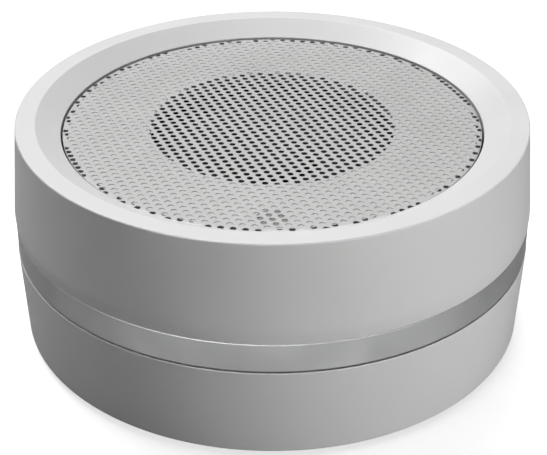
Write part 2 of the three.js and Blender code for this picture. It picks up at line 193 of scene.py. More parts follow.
def emboss(material, shader, value, depth):
    """Bump of the given depth in millimetres."""
    bump = material.node_tree.nodes.new("ShaderNodeBump")
    bump.inputs["Strength"].default_value = BUMP_STRENGTH
    bump.inputs["Distance"].default_value = depth * MM
    material.node_tree.links.new(value, bump.inputs["Height"])
    material.node_tree.links.new(bump.outputs["Normal"], shader.inputs["Normal"])


def shade(color, factor):
    return tuple(channel * factor for channel in color)


def moulded(name, color, roughness, grain=2600, depth=0.012, cloud=0.03, metallic=0.0):
    """Moulded or coated surface: fine grain, faint cloudiness and slightly uneven gloss."""
    material, shader = new_material(name, color, roughness, metallic)
    vary_color(material, shader, noise(material, CLOUD_SCALE, 2), shade(color, 1 - cloud), color)
    vary_roughness(material, shader, noise(material, GLOSS_SCALE, 4), roughness - 0.03, roughness + 0.04)
    emboss(material, shader, noise(material, grain, 2), depth)
    return material


def metal(name, color, roughness):
    """Bare metal with a fine, slightly uneven finish."""
    grain, depth, cloud = 1800, 0.0015, 0.05
    material, shader = new_material(name, color, roughness, 1.0)
    marks = noise(material, grain, 4)
    vary_color(material, shader, marks, shade(color, 1 - cloud), color)
    vary_roughness(material, shader, marks, roughness - 0.015, roughness + 0.02)
    emboss(material, shader, marks, depth)
    return material


WHITE = moulded("white_plastic", (0.80, 0.80, 0.797), 0.36)
GRILLE_COAT = moulded("grille_coat", (0.475, 0.475, 0.472), 0.45, 3200, 0.008, metallic=0.25)
RING_LACQUER = moulded("ring_lacquer", (0.38, 0.382, 0.384), 0.5, 4200, 0.005, 0.04, metallic=0.7)
GREY = moulded("grey_plastic", (0.53, 0.53, 0.525), 0.45)
BLACK = moulded("black_plastic", (0.022, 0.023, 0.025), 0.48, 1900, 0.02, 0.2)
RUBBER = moulded("rubber", (0.018, 0.018, 0.019), 0.75, 1500, 0.03, 0.25)
# near-black seal: painted shade for the shadow seen through the grille's outermost holes
FOAM_PAINTED_SHADE = moulded("gasket_foam_painted_shade", (0.02, 0.02, 0.02), 0.9, 2800, 0.15, 0.4)
LENS = moulded("light_lens", (0.22, 0.22, 0.216), 0.35, 1200, 0.004, 0.02)
STEEL = metal("plated_steel", (0.55, 0.56, 0.57), 0.26)
BRASS = metal("gold_flash", (0.83, 0.61, 0.26), 0.24)
COPPER = metal("copper_wire", (0.72, 0.36, 0.19), 0.3)
CAN = metal("capacitor_can", (0.66, 0.67, 0.68), 0.28)
FERRITE = moulded("ferrite", (0.045, 0.045, 0.05), 0.6, 1400, 0.03, 0.3)
PAPER = moulded("cone_paper", (0.03, 0.028, 0.026), 0.8, 900, 0.05, 0.35)
SOLDER_MASK = moulded("solder_mask", (0.012, 0.11, 0.045), 0.35, 700, 0.02, 0.4)
SLEEVE = moulded("cell_sleeve", (0.05, 0.19, 0.40), 0.3, 900, 0.004, 0.1)
RED_WIRE = moulded("red_wire", (0.55, 0.03, 0.02), 0.45)
BLACK_WIRE = moulded("black_wire", (0.015, 0.015, 0.016), 0.45)

SLOT_MATERIAL = {
    "white_plastic": WHITE, "ring_finish": RING_LACQUER, "grille_metal": GRILLE_COAT,
    "rubber": RUBBER, "black_plastic": BLACK, "grey_plastic": GREY, "steel": STEEL,
    "brass": BRASS, "ferrite": FERRITE, "board": SOLDER_MASK, "copper": COPPER, "lens": LENS,
    "cone_paper": PAPER, "cell_can": SLEEVE, "capacitor_can": CAN, "red_wire": RED_WIRE,
    "black_wire": BLACK_WIRE,
}


# ================================================================ outlines
def fillet(corners, steps=6):
    """Rounds the corners of a closed outline; a corner is (r, z) or (r, z, radius)."""
    outline = []
    for i, corner in enumerate(corners):
        here = Vector(corner[:2])
        radius = corner[2] if len(corner) > 2 else 0
        if radius == 0:
            outline.append(tuple(here))
            continue
        back = (Vector(corners[i - 1][:2]) - here).normalized()
        onward = (Vector(corners[(i + 1) % len(corners)][:2]) - here).normalized()
        half = math.acos(max(-1, min(1, back.dot(onward)))) / 2
        centre = here + (back + onward).normalized() * radius / math.sin(half)
        start = here + back * radius / math.tan(half) - centre
        end = here + onward * radius / math.tan(half) - centre
        turn = math.atan2(start.x * end.y - start.y * end.x, start.dot(end))
        for step in range(steps + 1):
            outline.append(tuple(centre + Matrix.Rotation(turn * step / steps, 2) @ start))
    return outline


def arc(centre_r, centre_z, radius, start, end, steps=12):
    """Points on a circle in the (r, z) plane, from the angle start to end in degrees."""
    angles = [math.radians(start + (end - start) * i / steps) for i in range(steps + 1)]
    return [(centre_r + radius * math.cos(a), centre_z + radius * math.sin(a)) for a in angles]


def polar(radius, degrees):
    """The point at a radius and an angle."""
    return radius * math.cos(math.radians(degrees)), radius * math.sin(math.radians(degrees))


def at(x, y, z=0.0):
    return Matrix.Translation((x, y, z))


# ================================================================ closed solids, in millimetres
def supported(outline):
    """Adds a point close to each end of a long straight side, so that only its rounding shades round."""
    long_side, near_axis = 1.2, 0.5
    points = []
    for here, onward in zip(outline, outline[1:] + outline[:1]):
        points.append(here)
        side = Vector(onward) - Vector(here)
        if side.length <= long_side:
            continue
        inset = side.normalized() * SUPPORT_INSET
        if here[0] > near_axis:
            points.append(tuple(Vector(here) + inset))
        if onward[0] > near_axis:
            points.append(tuple(Vector(onward) - inset))
    return points


def revolve(outline, steps=SMALL_STEPS):
    """The solid that an anticlockwise (r, z) outline sweeps round Z."""
    on_axis = 1e-4
    solid = bmesh.new()
    rings = []
    for radius, height in supported(outline):
        if radius < on_axis:
            rings.append([solid.verts.new((0, 0, height))])
            continue
        places = (polar(radius, 360 * i / steps) for i in range(steps))
        rings.append([solid.verts.new((x, y, height)) for x, y in places])
    for low, high in zip(rings, rings[1:] + rings[:1]):
        for i in range(steps):
            j = (i + 1) % steps
            corners = (low[i % len(low)], low[j % len(low)], high[j % len(high)], high[i % len(high)])
            corners = tuple(dict.fromkeys(corners))
            if len(corners) > 2:
                solid.faces.new(corners)
    return solid


def prism(outline, low, high):
    """An anticlockwise (x, y) outline, raised from low to high."""
    solid = bmesh.new()
    floor = [solid.verts.new((x, y, low)) for x, y in outline]
    roof = [solid.verts.new((x, y, high)) for x, y in outline]
    solid.faces.new(reversed(floor))
    solid.faces.new(roof)
    for i in range(len(outline)):
        j = (i + 1) % len(outline)
        solid.faces.new((floor[i], floor[j], roof[j], roof[i]))
    return solid


def moved(solid, matrix):
    solid.transform(matrix)
    return solid


def spun(solid, degrees, axis="Z"):
    return moved(solid, Matrix.Rotation(math.radians(degrees), 4, axis))


def block(width, depth, low, high, x=0.0, y=0.0, corner=0.0):
    """A box round (x, y), with rounded upright edges where corner is given."""
    signs = ((-1, -1), (1, -1), (1, 1), (-1, 1))
    corners = [(sx * width / 2, sy * depth / 2, corner) for sx, sy in signs]
    return moved(prism(fillet(corners), low, high), at(x, y))


def sector(inner, outer, low, high, centre_angle, half_angle, steps=10):
    """Part of a flat ring, centred on centre_angle."""
    angles = [centre_angle + half_angle * (2 * i / steps - 1) for i in range(steps + 1)]
    outline = [polar(outer, a) for a in angles] + [polar(inner, a) for a in reversed(angles)]
    return prism(outline, low, high)


def disc(radius, low, high, x=0.0, y=0.0, edge=0.0, steps=SMALL_STEPS):
    """A turned cylinder, with rounded edges where edge is given."""
    outline = fillet([(0, low), (radius, low, edge), (radius, high, edge), (0, high)], 4)
    return moved(revolve(outline, steps), at(x, y))


def sweep(points, radius, sides=12):
    """A round wire along a list of points, with pointed ends."""
    tip_height = 0.5 * radius
    points = [Vector(p) for p in points]
    turns = [2 * math.pi * k / sides for k in range(sides)]
    solid = bmesh.new()
    side = (points[1] - points[0]).orthogonal().normalized()
    rings = []
    for i, point in enumerate(points):
        along = (points[min(i + 1, len(points) - 1)] - points[max(i - 1, 0)]).normalized()
        side = (side - along * side.dot(along)).normalized()
        across = along.cross(side)
        rings.append([solid.verts.new(point + radius * (math.cos(t) * side + math.sin(t) * across))
                      for t in turns])
    for low, high in zip(rings, rings[1:]):
        for k in range(sides):
            solid.faces.new((low[k - 1], low[k], high[k], high[k - 1]))
    for ring, inside in ((rings[0], points[1]), (rings[-1], points[-2])):
        end = points[0] if ring is rings[0] else points[-1]
        centre = sum((v.co for v in ring), Vector()) / sides
        tip = solid.verts.new(centre + (end * 2 - inside - centre).normalized() * tip_height)
        for k in range(sides):
            rim = (ring[k], ring[k - 1]) if ring is rings[0] else (ring[k - 1], ring[k])
            solid.faces.new((*rim, tip))
    return solid


def helix(start_radius, end_radius, length, turns, steps_per_turn=28):
    """Points on a coil that rises from height 0 to length."""
    count = round(turns * steps_per_turn)
    places = []
    for i in range(count + 1):
        t = i / count
        x, y = polar(start_radius + (end_radius - start_radius) * t, 360 * turns * t)
        places.append((x, y, length * t))
    return places


def smooth_path(points, steps=10):
    """A smooth curve through points."""
    points = [Vector(p) for p in points]
    padded = [2 * points[0] - points[1]] + points + [2 * points[-1] - points[-2]]
    path = []
    for a, b, c, d in zip(padded, padded[1:], padded[2:], padded[3:]):
        for i in range(steps):
            t = i / steps
            path.append(0.5 * (2 * b + (c - a) * t + (2 * a - 5 * b + 4 * c - d) * t * t
                               + (3 * b - a - 3 * c + d) * t * t * t))
    return path + [points[-1]]


# ================================================================ objects
def finish_surface(piece, materials, crease=CREASE):
    """Gives a piece its materials and smooth shading between creases."""
    mesh = piece.data
    mesh.materials.clear()
    for material in materials:
        mesh.materials.append(material)
    mesh.polygons.foreach_set("use_smooth", [True] * len(mesh.polygons))
    mesh.set_sharp_from_angle(angle=math.radians(crease))
    mesh.update()


def as_object(solid):
    mesh = bpy.data.meshes.new("piece")
    bmesh.ops.recalc_face_normals(solid, faces=solid.faces)
    solid.to_mesh(mesh)
    solid.free()
    piece = bpy.data.objects.new("piece", mesh)
    bpy.context.scene.collection.objects.link(piece)
    return piece


def carve(piece, solids, operation="DIFFERENCE"):
    """Cuts solids out of a piece, or joins them to it."""
    for solid in solids:
        tool = as_object(solid)
        modifier = piece.modifiers.new("carve", "BOOLEAN")
        modifier.operation = operation
        modifier.solver = "MANIFOLD"
        modifier.object = tool
        result = piece.evaluated_get(bpy.context.evaluated_depsgraph_get())
        mesh = bpy.data.meshes.new_from_object(result)
        piece.modifiers.clear()
        old, piece.data = piece.data, mesh
        bpy.data.meshes.remove(old)
        bpy.data.objects.remove(tool)
    return piece


def place(piece, node, crease=CREASE, second=None, chosen=None, rides=True):
    """Turns a piece into metres and lets it stand in for a CAD node, on the node's body and slot.
    The faces for which chosen(centre) is true get the second material."""
    entry = next(e for e in frame["record"]["subparts"] if e["node"] == node)
    bodies = frame["record"]["behaviour"]["bodies"]
    body = next(name for name, nodes in bodies.items() if node in nodes)
    materials = [SLOT_MATERIAL[entry["material_slot"]]] + ([second] if second else [])
    finish_surface(piece, materials, crease)
    if chosen:
        for face in piece.data.polygons:
            face.material_index = 1 if chosen(face.center) else 0
    piece.data.transform(Matrix.Scale(MM, 4))
    piece.name = piece.data.name = "look_" + node
    if rides:
        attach(piece, body)
    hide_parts(node)
    return piece


def turned(node, outline, steps=SMALL_STEPS, x=0.0, y=0.0):
    """A turned piece that stands in for a node."""
    return place(as_object(moved(revolve(outline, steps), at(x, y))), node)


# ================================================================ casing
def upper_shell():
    """Drum, flat rim, bevel and the wall round the grille; four arms inside hold the screw bosses."""
    foot_inner_r = BAND_R + 0.05
    foot_r = DRUM_R - 0.1
    foot_rise = 1.6             # the drum's wall bends in below this height over its foot
    wall_foot = 30.4            # lower end of the wall round the grille
    wall_outer_r = 34
    inner_r = 36.6
    ceiling = HEIGHT - 2.4
    outline = fillet([
        (foot_inner_r, DRUM_BOTTOM, 0.1), (foot_r, DRUM_BOTTOM, 0.05),
        (DRUM_R, DRUM_BOTTOM + foot_rise, 6.0), (RIM_R, HEIGHT, 0.25), (RIM_INNER_R, HEIGHT, 0.3),
        (WELL_R, BEVEL_FOOT, 0.1), (WELL_R, wall_foot, 0.1), (wall_outer_r, wall_foot, 0.3),
        (inner_r, ceiling, 0.8),
    ])
    shell = as_object(revolve(outline, OUTER_STEPS))
    boss_low = span("upper_shell")[0].z
    boss_high, boss_r = 30.2, 2.8
    arm_length, arm_width, arm_middle = 6.4, 2.4, 35.4
    arm_low, arm_high = 24, 32.2
    joined = []
    for angle in CORNER_ANGLES:
        joined.append(spun(block(arm_length, arm_width, arm_low, arm_high, arm_middle, 0, 0.3), angle))
        joined.append(disc(boss_r, boss_low, boss_high, *polar(BOSS_CIRCLE, angle), 0.2, 32))
    shell = carve(shell, joined, "UNION")
    hole_top = 27
    well_floor = 31.4
    holes = [screw_hole(angle, hole_top) for angle in CORNER_ANGLES]
    holes.append(disc(WELL_R, well_floor, HEIGHT - 1, steps=OUTER_STEPS))
    place(carve(shell, holes), "upper_shell")


def screw_hole(angle, top):
    """Cutter for one of the four chassis screws."""
    below = 10
    return disc(SCREW_HOLE_R, below, top, *polar(BOSS_CIRCLE, angle), steps=24)


def locking_ring():
    """Plain band with a bevelled upper edge, and a bayonet rib in three parts inside it."""
    top = DRUM_BOTTOM - 0.03        # leaves only a hairline under the drum
    bottom = RING_LOW.z - 0.1
    outside = RING_R + 0.1
    bevel = 0.12
    outline = fillet([
        (BAND_R, bottom, 0.1), (outside, bottom, 0.1), (outside, top - bevel, 0.04),
        (outside - bevel, top, 0.02), (BAND_R, top, 0.1),
    ], 4)
    ring = as_object(revolve(outline, OUTER_STEPS))
    gap_half = 10.5                 # half of each gap in the rib, in degrees
    rib_half = (120 - 2 * gap_half) / 2
    ribs = [sector(RIB_R, BAND_R + 0.4, RIB_BOTTOM, RIB_TOP, angle + 60, rib_half, 40)
            for angle in LUG_ANGLES]
    place(carve(ring, ribs, "UNION"), "locking_ring")


def keyhole(x):
    """Cutter for an entry hole with a slot towards the rear."""
    entry_r, slot_r = 4.0, 2.2
    entry_y, travel = -4.0, 8.0
    meet = math.degrees(math.asin(slot_r / entry_r))
    outline = [(x + px, entry_y + py) for px, py in arc(0, 0, entry_r, 90 + meet, 450 - meet, 40)]
    outline += [(x + px, entry_y + travel + py) for px, py in arc(0, 0, slot_r, 0, 180, 20)]
    return prism(outline, -1, 5)


def hooks():
    """Three hooks on the neck that hold the locking ring's rib down."""
    half_angle = 6
    solids = []
    for angle in HOOK_ANGLES:
        solids.append(sector(NECK_INNER, RIB_R - 0.3, SHOULDER, HOOK_TOP, angle, half_angle))
        solids.append(sector(RIB_R - 0.5, BAND_R - 0.4, RIB_TOP + GAP, HOOK_TOP, angle, half_angle))
    return solids


def floor_rib():
    """Low rib round the floor of the lower shell."""
    inner, outer = 34.4, 35.2
    low, high = SHELL_FLOOR - OVERLAP, SHELL_FLOOR + 1.2
    return revolve(fillet([(inner, low), (outer, low), (outer, high, 0.2), (inner, high, 0.2)]), 128)


def lower_shell():
    """Tapering drum with a neck for the locking ring, open at the top."""
    neck_foot = SHOULDER - 2.4
    wall_top = SHOULDER - 4.4
    wall_r = BASE_R - WALL
    outline = fillet([
        (0, BASE_BOTTOM), (BASE_R, BASE_BOTTOM, 0.4), (DRUM_R, SHOULDER, 0.15),
        (NECK_OUTER, SHOULDER, 0.2), (NECK_OUTER, NECK_TOP, 0.15), (NECK_INNER, NECK_TOP, 0.15),
        (NECK_INNER, neck_foot, 0.5), (wall_r, wall_top, 0.5), (wall_r - 0.5, SHELL_FLOOR, 0.8),
        (0, SHELL_FLOOR),
    ])
    shell = as_object(revolve(outline, OUTER_STEPS))
    added = hooks()
    for x in (-PAD.x, PAD.x):
        added.append(block(5, 4, SHELL_FLOOR - OVERLAP, PAD.z - 0.5, x, PAD.y, 0.4))
    added.append(floor_rib())
    shell = carve(shell, added, "UNION")
    foot_r, foot_recess = 4.8, 0.6
    removed = [disc(foot_r, 0, BASE_BOTTOM + foot_recess, *polar(FOOT_CIRCLE, angle))
               for angle in CORNER_ANGLES]
    removed += [keyhole(x) for x in (-KEYHOLE_X, KEYHOLE_X)]
    rod_hole_r = 1.9
    removed.append(disc(rod_hole_r, 0, 4, 0, ROD_Y, steps=32))
    place(carve(shell, removed), "lower_shell")


def rubber_feet():
    """Round feet that stand on a rim, with a shallow dish inside it."""
    dish, dish_r, rim_r, outer_r = 0.12, 3.2, 3.5, 4.5
    for i, angle in enumerate(CORNER_ANGLES):
        node = f"rubber_foot_{i + 1}"
        high = span(node)[1].z
        outline = fillet([
            (0, dish), (dish_r, dish, 0.3), (rim_r, 0, 0.2), (outer_r, 0, 0.45),
            (outer_r, high, 0.1), (0, high),
        ])
        turned(node, outline, 48, *polar(FOOT_CIRCLE, angle))


# ================================================================ grille and what is under it
def hole_rims(limit):
    """Hole outlines on a skewed lattice; those that reach past limit are cut off there."""
    reach = range(-40, 41)
    circle = [Vector(polar(1, 360 * i / HOLE_SIDES)) for i in range(HOLE_SIDES)]
    for i in reach:
        for j in reach:
            centre = LATTICE_START + i * LATTICE_A + j * LATTICE_B
            if centre.length > limit:
                continue
            rims = []
            for radius in (HOLE_R + HOLE_EDGE, HOLE_R):
                rim = [centre + radius * step for step in circle]
                rims.append([p if p.length < limit else p * (limit / p.length) for p in rim])
            yield rims


def sheet_plan(inner):
    """The sheet's plan: its points, the triangles between the holes, and the holes' throats."""
    plan = [Vector(polar(inner, 360 * i / OUTER_STEPS)) for i in range(OUTER_STEPS)]
    owner = [0] * OUTER_STEPS       # number of the hole that a point belongs to, from 1
    throats = []
    edges = [((i - 1) % OUTER_STEPS, i) for i in range(OUTER_STEPS)]
    for rim, throat in hole_rims(inner - 0.02):
        first = len(plan)
        plan += rim
        throats.append(throat)
        owner += [len(throats)] * HOLE_SIDES
        edges += [(first + (i - 1) % HOLE_SIDES, first + i) for i in range(HOLE_SIDES)]
    triangles = delaunay_2d_cdt(plan, edges, [], 0, 1e-6)[2]
    solid_parts = [t for t in triangles if not (owner[t[0]] == owner[t[1]] == owner[t[2]] != 0)]
    return plan, solid_parts, throats


def grille():
    """Perforated sheet with a turned-down lip; each hole has a rolled edge."""
    bottom = SHEET_TOP - SHEET
    inner = GRILLE_R - LIP
    plan, triangles, throats = sheet_plan(inner)
    solid = bmesh.new()
    roof = [solid.verts.new((p.x, p.y, SHEET_TOP)) for p in plan]
    floor = [solid.verts.new((p.x, p.y, bottom)) for p in plan[:OUTER_STEPS]]
    for number, throat in enumerate(throats):
        first = OUTER_STEPS + number * HOLE_SIDES
        rim = roof[first:first + HOLE_SIDES]
        neck = [solid.verts.new((p.x, p.y, SHEET_TOP - HOLE_EDGE)) for p in throat]
        foot = [solid.verts.new((p.x, p.y, bottom)) for p in throat]
        floor += foot
        for i in range(HOLE_SIDES):
            solid.faces.new((rim[i - 1], rim[i], neck[i], neck[i - 1]))
            solid.faces.new((neck[i - 1], neck[i], foot[i], foot[i - 1]))
    for a, b, c in triangles:
        solid.faces.new((roof[a], roof[b], roof[c]))
        solid.faces.new((floor[c], floor[b], floor[a]))
    lip_foot = GRILLE_LOW.z
    section = arc(inner, SHEET_TOP - LIP, LIP, 60, 0, 4) + [(GRILLE_R, lip_foot), (inner, lip_foot)]
    previous = roof[:OUTER_STEPS]
    for radius, height in section:
        places = (polar(radius, 360 * i / OUTER_STEPS) for i in range(OUTER_STEPS))
        ring = [solid.verts.new((x, y, height)) for x, y in places]
        for i in range(OUTER_STEPS):
            solid.faces.new((previous[i], previous[i - 1], ring[i - 1], ring[i]))
        previous = ring
    for i in range(OUTER_STEPS):
        solid.faces.new((previous[i], previous[i - 1], floor[(i - 1) % OUTER_STEPS], floor[i]))
    place(as_object(solid), "grille", 40)


def backing_plate():
    """Light plate close under the perforated sheet, open over the speaker and the status light.
    A black foam seal is bonded round its edge; its near-black colour is painted shade, standing for the
    shadow seen through the grille's outermost holes. Four posts stand under it."""
    low = span("light_guide")[1].z - 1.4
    outline = fillet([
        (OPENING_R, low, 0.2), (SHADE_SEAL_R, low), (SHADE_SEAL_OUTER, low, 0.1), (SHADE_SEAL_OUTER, PLATE_TOP, 0.1),
        (SHADE_SEAL_R, PLATE_TOP), (OPENING_R, PLATE_TOP, 0.25),
    ], 4)
    plate = carve(as_object(revolve(outline, 128)), [disc(LIGHT_R, 29, 34, 0, LIGHT_Y)])
    post_r, post_circle = 1.6, 26
    posts = [disc(post_r, PLATE_LOW, low + OVERLAP, *polar(post_circle, angle), steps=24)
             for angle in (20, 160, 200, 340)]
    # faces beyond the seal radius get the near-black seal, painted shade under the outermost holes
    place(carve(plate, posts, "UNION"), "backing_plate", second=FOAM_PAINTED_SHADE,
          chosen=lambda face: face.xy.length > SHADE_SEAL_R)


def light_guide():
    """Round bar that widens at the top into the window under the sheet."""
    foot, bar_r, bar_top = 25, 2, 30
    head_r = LIGHT_R - 0.02
    turned("light_guide", fillet([
        (0, foot), (bar_r, foot, 0.2), (bar_r, bar_top, 0.2), (head_r, bar_top + 0.4, 0.2),
        (head_r, PLATE_TOP), (0, PLATE_TOP),
    ]), 48, 0, LIGHT_Y)


def status_led():
    """Square body with a round, domed lens on it."""
    led = middle("status_led")
    low, high = span("status_led")
    body = as_object(block(3.2, 2.8, low.z, high.z - 0.4, led.x, led.y, 0.1))
    lens = disc(1.2, low.z + 0.3, high.z, led.x, led.y, 0.3, 32)
    place(carve(body, [lens], "UNION"), "status_led")


# ================================================================ speaker
def speaker_gasket():
    inner, outer = 18.7, 20.4
    low, high = span("speaker_gasket")
    turned("speaker_gasket", fillet([
        (inner, low.z, 0.3), (outer, low.z, 0.3), (outer, high.z, 0.4), (inner, high.z, 0.4),
    ]))


def speaker_surround():
    """Half roll between the basket and the cone."""
    roll_r, level, thickness = 17.0, 28.6, 0.3
    inner_r, outer_r = 16.0, 18.3
    upper_roll = arc(roll_r, level, 0.9, 0, 180, 16)
    lower_roll = arc(roll_r, level, 0.9 - thickness, 180, 0, 16)
    flange = [(outer_r, level), (outer_r, level + thickness)]
    turned("speaker_surround", flange + upper_roll + [(inner_r, level), (inner_r, level - 0.1)] + lower_roll)


def speaker_basket():
    """Pressed steel dish with four windows in its wall."""
    hub_r, hub_low, hub_high = 8, 23.4, 24.2
    rim_r, rim_low, rim_high = 20.4, 27.5, 28.3
    basket = as_object(revolve(fillet([
        (hub_r, hub_low, 0.1), (13.6, hub_low, 0.5), (17.6, rim_low, 0.3), (rim_r, rim_low, 0.2),
        (rim_r, rim_high, 0.15), (17, rim_high, 0.3), (13.2, hub_high, 0.5), (hub_r, hub_high, 0.1),
    ], 4), 96))
    length, width, low, high, middle_r = 9, 7, 24.6, 27, 16.5
    windows = [spun(block(length, width, low, high, middle_r, 0, 1.2), 90 * quarter + 22.5)
               for quarter in range(4)]
    place(carve(basket, windows), "speaker_basket")


def speaker_spider():
    """Corrugated disc round the voice coil."""
    inner, width, steps = COIL_R + 0.6, 5.1, 40
    wave, waves_per_mm = 0.1, 2.6
    low, high = 24.55, 24.78
    radii = [inner + width * i / steps for i in range(steps + 1)]

    def sheet(level, radii):
        return [(r, level + wave * math.sin((r - inner) * waves_per_mm)) for r in radii]

    turned("speaker_spider", sheet(low, radii) + sheet(high, reversed(radii)))


def speaker_motor():
    """Top plate, ring magnet and yoke, with a gap for the voice coil."""
    plate_bore, plate_r, plate_low, plate_high = 6.9, 13.5, 21.5, 23.1
    turned("speaker_top_plate", fillet([
        (plate_bore, plate_low, 0.1), (plate_r, plate_low, 0.3), (plate_r, plate_high, 0.3),
        (plate_bore, plate_high, 0.1),
    ]))
    magnet_bore, magnet_r, magnet_low, magnet_high = 7.2, 14, 18, 21.2
    turned("speaker_magnet", fillet([
        (magnet_bore, magnet_low, 0.2), (magnet_r, magnet_low, 0.5), (magnet_r, magnet_high, 0.5),
        (magnet_bore, magnet_high, 0.2),
    ]))
    pole_r, yoke_low, yoke_top = 5.6, 15.9, 17.7
    turned("speaker_yoke", fillet([
        (0, yoke_low), (plate_r, yoke_low, 0.5), (plate_r, yoke_top, 0.2), (pole_r, yoke_top, 0.3),
        (pole_r, plate_high, 0.2), (0, plate_high),
    ]))


def speaker_cone():
    """Paper cone, flared from the voice coil to the surround."""
    inner, width, steps = COIL_R + GAP, 8.9, 12
    low, rise, thickness = 25.2, 2.7, 0.5
    flare = [inner + width * i / steps for i in range(steps + 1)]
    under = [(r, low + rise * ((r - inner) / width) ** 0.85) for r in flare]
    turned("speaker_cone", under + [(r, z + thickness) for r, z in reversed(under)])


def dust_cap():
    radius, low, height = 6.2, 25.9, 2.2
    turns = [math.radians(a) for a in range(0, 91, 9)]
    dome = [(radius * math.sin(t), low + height * math.cos(t)) for t in turns]
    turned("dust_cap", [(0, low)] + dome[::-1])


def voice_coil():
    """Former with a ridged winding on its lower half."""
    inner, former_r = 6.1, 6.3
    foot, winding_low, winding_top, top = 21.4, 21.5, 24.3, 25.6
    ridge, layer = 0.1, 0.14
    winding = [(COIL_R - (ridge if i % 2 else 0), winding_low + layer * i) for i in range(20)]
    turned("voice_coil", [(inner, foot), (COIL_R - ridge, foot)] + winding
           + [(former_r, winding_top), (former_r, top), (inner, top)])


def speaker_leads():
    wire_r = 0.45
    for colour, side in (("red", 1), ("black", -1)):
        path = [(side * 1.6, 17.6, 26), (side * 1.92, 20, 26.6), (side * 2.4, 22.4, 25.6),
                (side * 2.4, 23.2, 23.7)]
        place(as_object(sweep(smooth_path(path), wire_r, 16)), f"speaker_lead_{colour}")


def speaker():
    speaker_gasket()
    speaker_surround()
    speaker_basket()
    speaker_spider()
    speaker_motor()
    speaker_cone()
    dust_cap()
    voice_coil()
    speaker_leads()


# ================================================================ head: chassis and electronics
def chassis_lugs():
    """Three bayonet lugs at the chassis's edge."""
    neck_half = edge_half = 8
    low = CHASSIS_LOW.z + 1.7
    solids = []
    for angle in LUG_ANGLES:
        solids.append(sector(CHASSIS_R - 0.6, 36.5, low, CHASSIS_HIGH.z, angle, neck_half))
        solids.append(sector(36, BAND_R - GAP, low, RIB_BOTTOM - GAP, angle, edge_half))
    return solids


def chassis_ribs():
    """Eight ribs under the floor, from the speaker's cup outwards."""
    length, width, middle_r = 17.5, 0.9, CUP_OUTER + 8.6
    low, high = FLOOR_UNDERSIDE - 0.7, FLOOR_UNDERSIDE + 0.3
    return [spun(block(length, width, low, high, middle_r, 0, 0.2), angle)
            for angle in range(0, 360, 30) if angle % 90 != 0]


def head_chassis():
    """Floor of the head, with a cup for the speaker's magnet."""
    plate = as_object(disc(CHASSIS_R, FLOOR_UNDERSIDE, CHASSIS_HIGH.z, edge=0.25, steps=128))
    added = [disc(CUP_OUTER, CHASSIS_LOW.z, CHASSIS_HIGH.z, edge=0.5, steps=96)]
    added += chassis_lugs() + chassis_ribs()
    pad_r = 3.6                     # raised pad round each screw
    pad_low, pad_high = FLOOR_UNDERSIDE - 0.25, FLOOR_UNDERSIDE + 0.3
    for angle in CORNER_ANGLES:
        added.append(disc(pad_r, pad_low, pad_high, *polar(BOSS_CIRCLE, angle), 0.1))
    plate = carve(plate, added, "UNION")
    cup_floor, below, above = 1, 10, 20
    rod_hole_r, button_hole_r = 2.2, 2.6
    holes = [
        disc(CUP_INNER, CHASSIS_LOW.z + cup_floor, above, steps=96),
        disc(rod_hole_r, below, above, 0, ROD_Y, steps=32),
        disc(button_hole_r, below, above, BUTTON.x, BUTTON.y, steps=32),
    ]
    holes += [screw_hole(angle, above) for angle in CORNER_ANGLES]
    holes += [block(4, 6, below, above, x, PAD.y, 0.4) for x in (-PAD.x, PAD.x)]
    place(carve(plate, holes), "head_chassis")


def screw_outline(low, high):
    """Pan head below, and a thread that ends in a point."""
    head_r, core_r, crest_r = 2.4, 0.95, 1.2
    seat = low + 1.5
    thread_start, pitch, turns = 0.6, 0.55, 12
    outline = fillet([
        (0, low), (1.9, low, 0.4), (head_r, low + 0.6, 0.4), (head_r, seat, 0.05),
    ], 5)
    outline.append((1.0, seat))
    for turn in range(turns):
        z = seat + thread_start + pitch * turn
        outline += [(core_r, z), (crest_r, z + 0.2), (core_r, z + 0.4)]
    return outline + [(core_r, high - 0.9), (0.25, high), (0, high)]


def chassis_screws():
    """Screws with a cross recess, driven from below."""
    recess_length, recess_width, recess_depth = 2.7, 0.62, 0.85
    for i, angle in enumerate(CORNER_ANGLES):
        node = f"chassis_screw_{i + 1}"
        low, high = span(node)
        screw = as_object(revolve(screw_outline(low.z, high.z), 40))
        recess = []
        for turn in (0, 90):
            slot = spun(block(recess_length, recess_width, -1, recess_depth, 0, 0, 0.1), turn)
            recess.append(moved(slot, at(0, 0, low.z)))
        screw = carve(screw, recess)
        screw.data.transform(at(*polar(BOSS_CIRCLE, angle)))
        place(screw, node)


def setup_button():
    """Cap with a dished face and a flange that holds it in the chassis."""
    low, high = span("setup_button")
    cap_r, flange_r = 2.2, 3
    flange = high.z - 0.4
    turned("setup_button", fillet([
        (0, low.z + 0.25), (1.2, low.z + 0.15, 0.3), (1.7, low.z, 0.15), (cap_r, low.z, 0.3),
        (cap_r, flange, 0.1), (flange_r, flange, 0.1), (flange_r, high.z, 0.1), (0, high.z),
    ]), 48, BUTTON.x, BUTTON.y)


def capacitors():
    """Cans with a crimped groove near the foot and a shallow dished top."""
    can_r, groove_r, dish = 3.1, 2.85, 0.08
    for i in (1, 2):
        node = f"capacitor_{i}"
        low, high = span(node)
        turned(node, fillet([
            (0, low.z), (can_r, low.z, 0.2), (can_r, low.z + 0.8, 0.2), (groove_r, low.z + 1.0, 0.2),
            (can_r, low.z + 1.3, 0.2), (can_r, high.z, 0.35), (2.5, high.z - dish),
            (0, high.z - dish),
        ], 4), 48, middle(node).x, middle(node).y)


